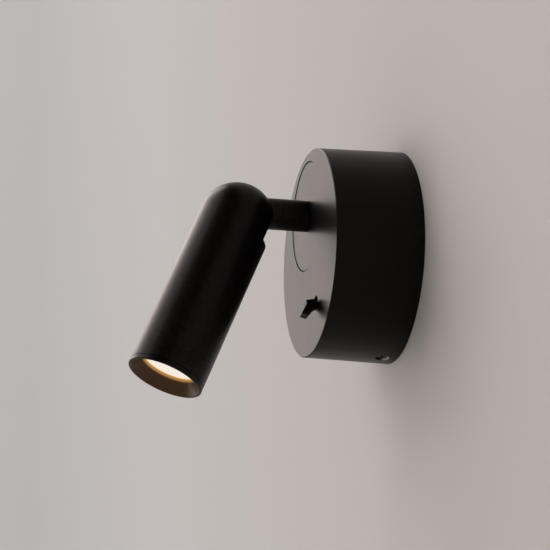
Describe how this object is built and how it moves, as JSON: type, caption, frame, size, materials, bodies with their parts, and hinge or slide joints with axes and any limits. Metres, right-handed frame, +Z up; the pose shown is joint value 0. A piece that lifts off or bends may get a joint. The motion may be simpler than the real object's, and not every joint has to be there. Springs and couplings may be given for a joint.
{
  "type": "pivoting spotlight wall light",
  "caption": "Wall spotlight: a round canopy with a toggle switch, a swivelling disc with a short arm, and a domed tubular head that tilts, with a recessed glowing lens.",
  "frame": {"origin": "centre of the canopy's back on the wall plane, midway between the two wall slots", "axes": "+Y into the wall, -Y out of the wall along the arm, +Z up, +X to the right when the wall is seen from the room"},
  "size_m": [0.1, 0.1246, 0.12],
  "materials": {
    "shell_black": "fine matt powder coat",
    "trim_black": "matt black, slightly smoother than the shells",
    "steel_zinc": "zinc plated",
    "steel_dark": "blackened screws",
    "aluminium_raw": "turned, satin",
    "brass_plain": "bright",
    "nylon_natural": "natural nylon",
    "plastic_black": "moulded, fine texture",
    "plastic_white": "moulded",
    "foam_grey": "adhesive foam pad",
    "rubber_black": "soft, matt",
    "reflector_metal": "vacuum metallised",
    "board_white": "white solder mask on aluminium",
    "chip_ceramic": "white ceramic",
    "phosphor": "glowing warm white",
    "lens_clear": "frosted, lit from behind",
    "lead_red": "silicone insulation",
    "lead_brown": "PVC insulation"
  },
  "bodies": {
    "base": {"canopy": "shell_black", "grub_screws": "steel_dark", "wall_bracket": "steel_zinc", "cable_grommet": "rubber_black", "driver_pad": "foam_grey", "led_driver": "plastic_white", "terminal_block": "plastic_white", "terminal_screws": "brass_plain", "earth_screw": "brass_plain", "earth_tag": "steel_zinc", "swivel_bush": "nylon_natural", "swivel_liner": "nylon_natural", "switch_body": "plastic_black", "switch_collar": "plastic_black", "switch_terminals": "brass_plain", "switch_retainer": "steel_zinc", "retainer_screws": "steel_zinc", "switch_leads": "lead_brown", "led_leads": "lead_red"},
    "swivel": {"swivel_disc": "shell_black", "stop_pin": "steel_zinc", "arm_tube": "shell_black", "arm_knuckle": "aluminium_raw", "thrust_washer": "nylon_natural", "wave_washer": "steel_zinc", "swivel_nut": "brass_plain", "arm_leads": "lead_red"},
    "head": {"head_housing": "shell_black", "front_bezel": "trim_black", "lens": "lens_clear", "lens_gasket": "rubber_black", "reflector": "reflector_metal", "led_holder": "plastic_white", "holder_screws": "steel_zinc", "led_board": "board_white", "led_chip": "chip_ceramic", "led_phosphor": "phosphor", "heat_sink": "aluminium_raw", "head_yoke": "steel_zinc", "yoke_screws": "steel_zinc", "pivot_screw": "steel_dark", "friction_washers": "nylon_natural", "spring_washer": "steel_zinc", "pivot_nut": "steel_zinc", "housing_screw": "steel_dark", "head_leads": "lead_red"},
    "lever": {"switch_lever": "plastic_black"}
  },
  "joints": [
    {"name": "arm_swivel", "type": "hinge", "parent": "base", "child": "swivel", "pos_m": [0, -0.0405, 0.0195], "axis": [0, 1, 0], "range_deg": [-177.26, 162.74]},
    {"name": "head_tilt", "type": "hinge", "parent": "swivel", "child": "head", "pos_m": [0, -0.0724, 0.0195], "axis": [0.992, 0, -0.1264], "range_deg": [0, 23.54]},
    {"name": "switch_throw", "type": "hinge", "parent": "base", "child": "lever", "pos_m": [0.0058, -0.0372, -0.029], "axis": [-1, 0, 0], "range_deg": [0, 26]}
  ]
}
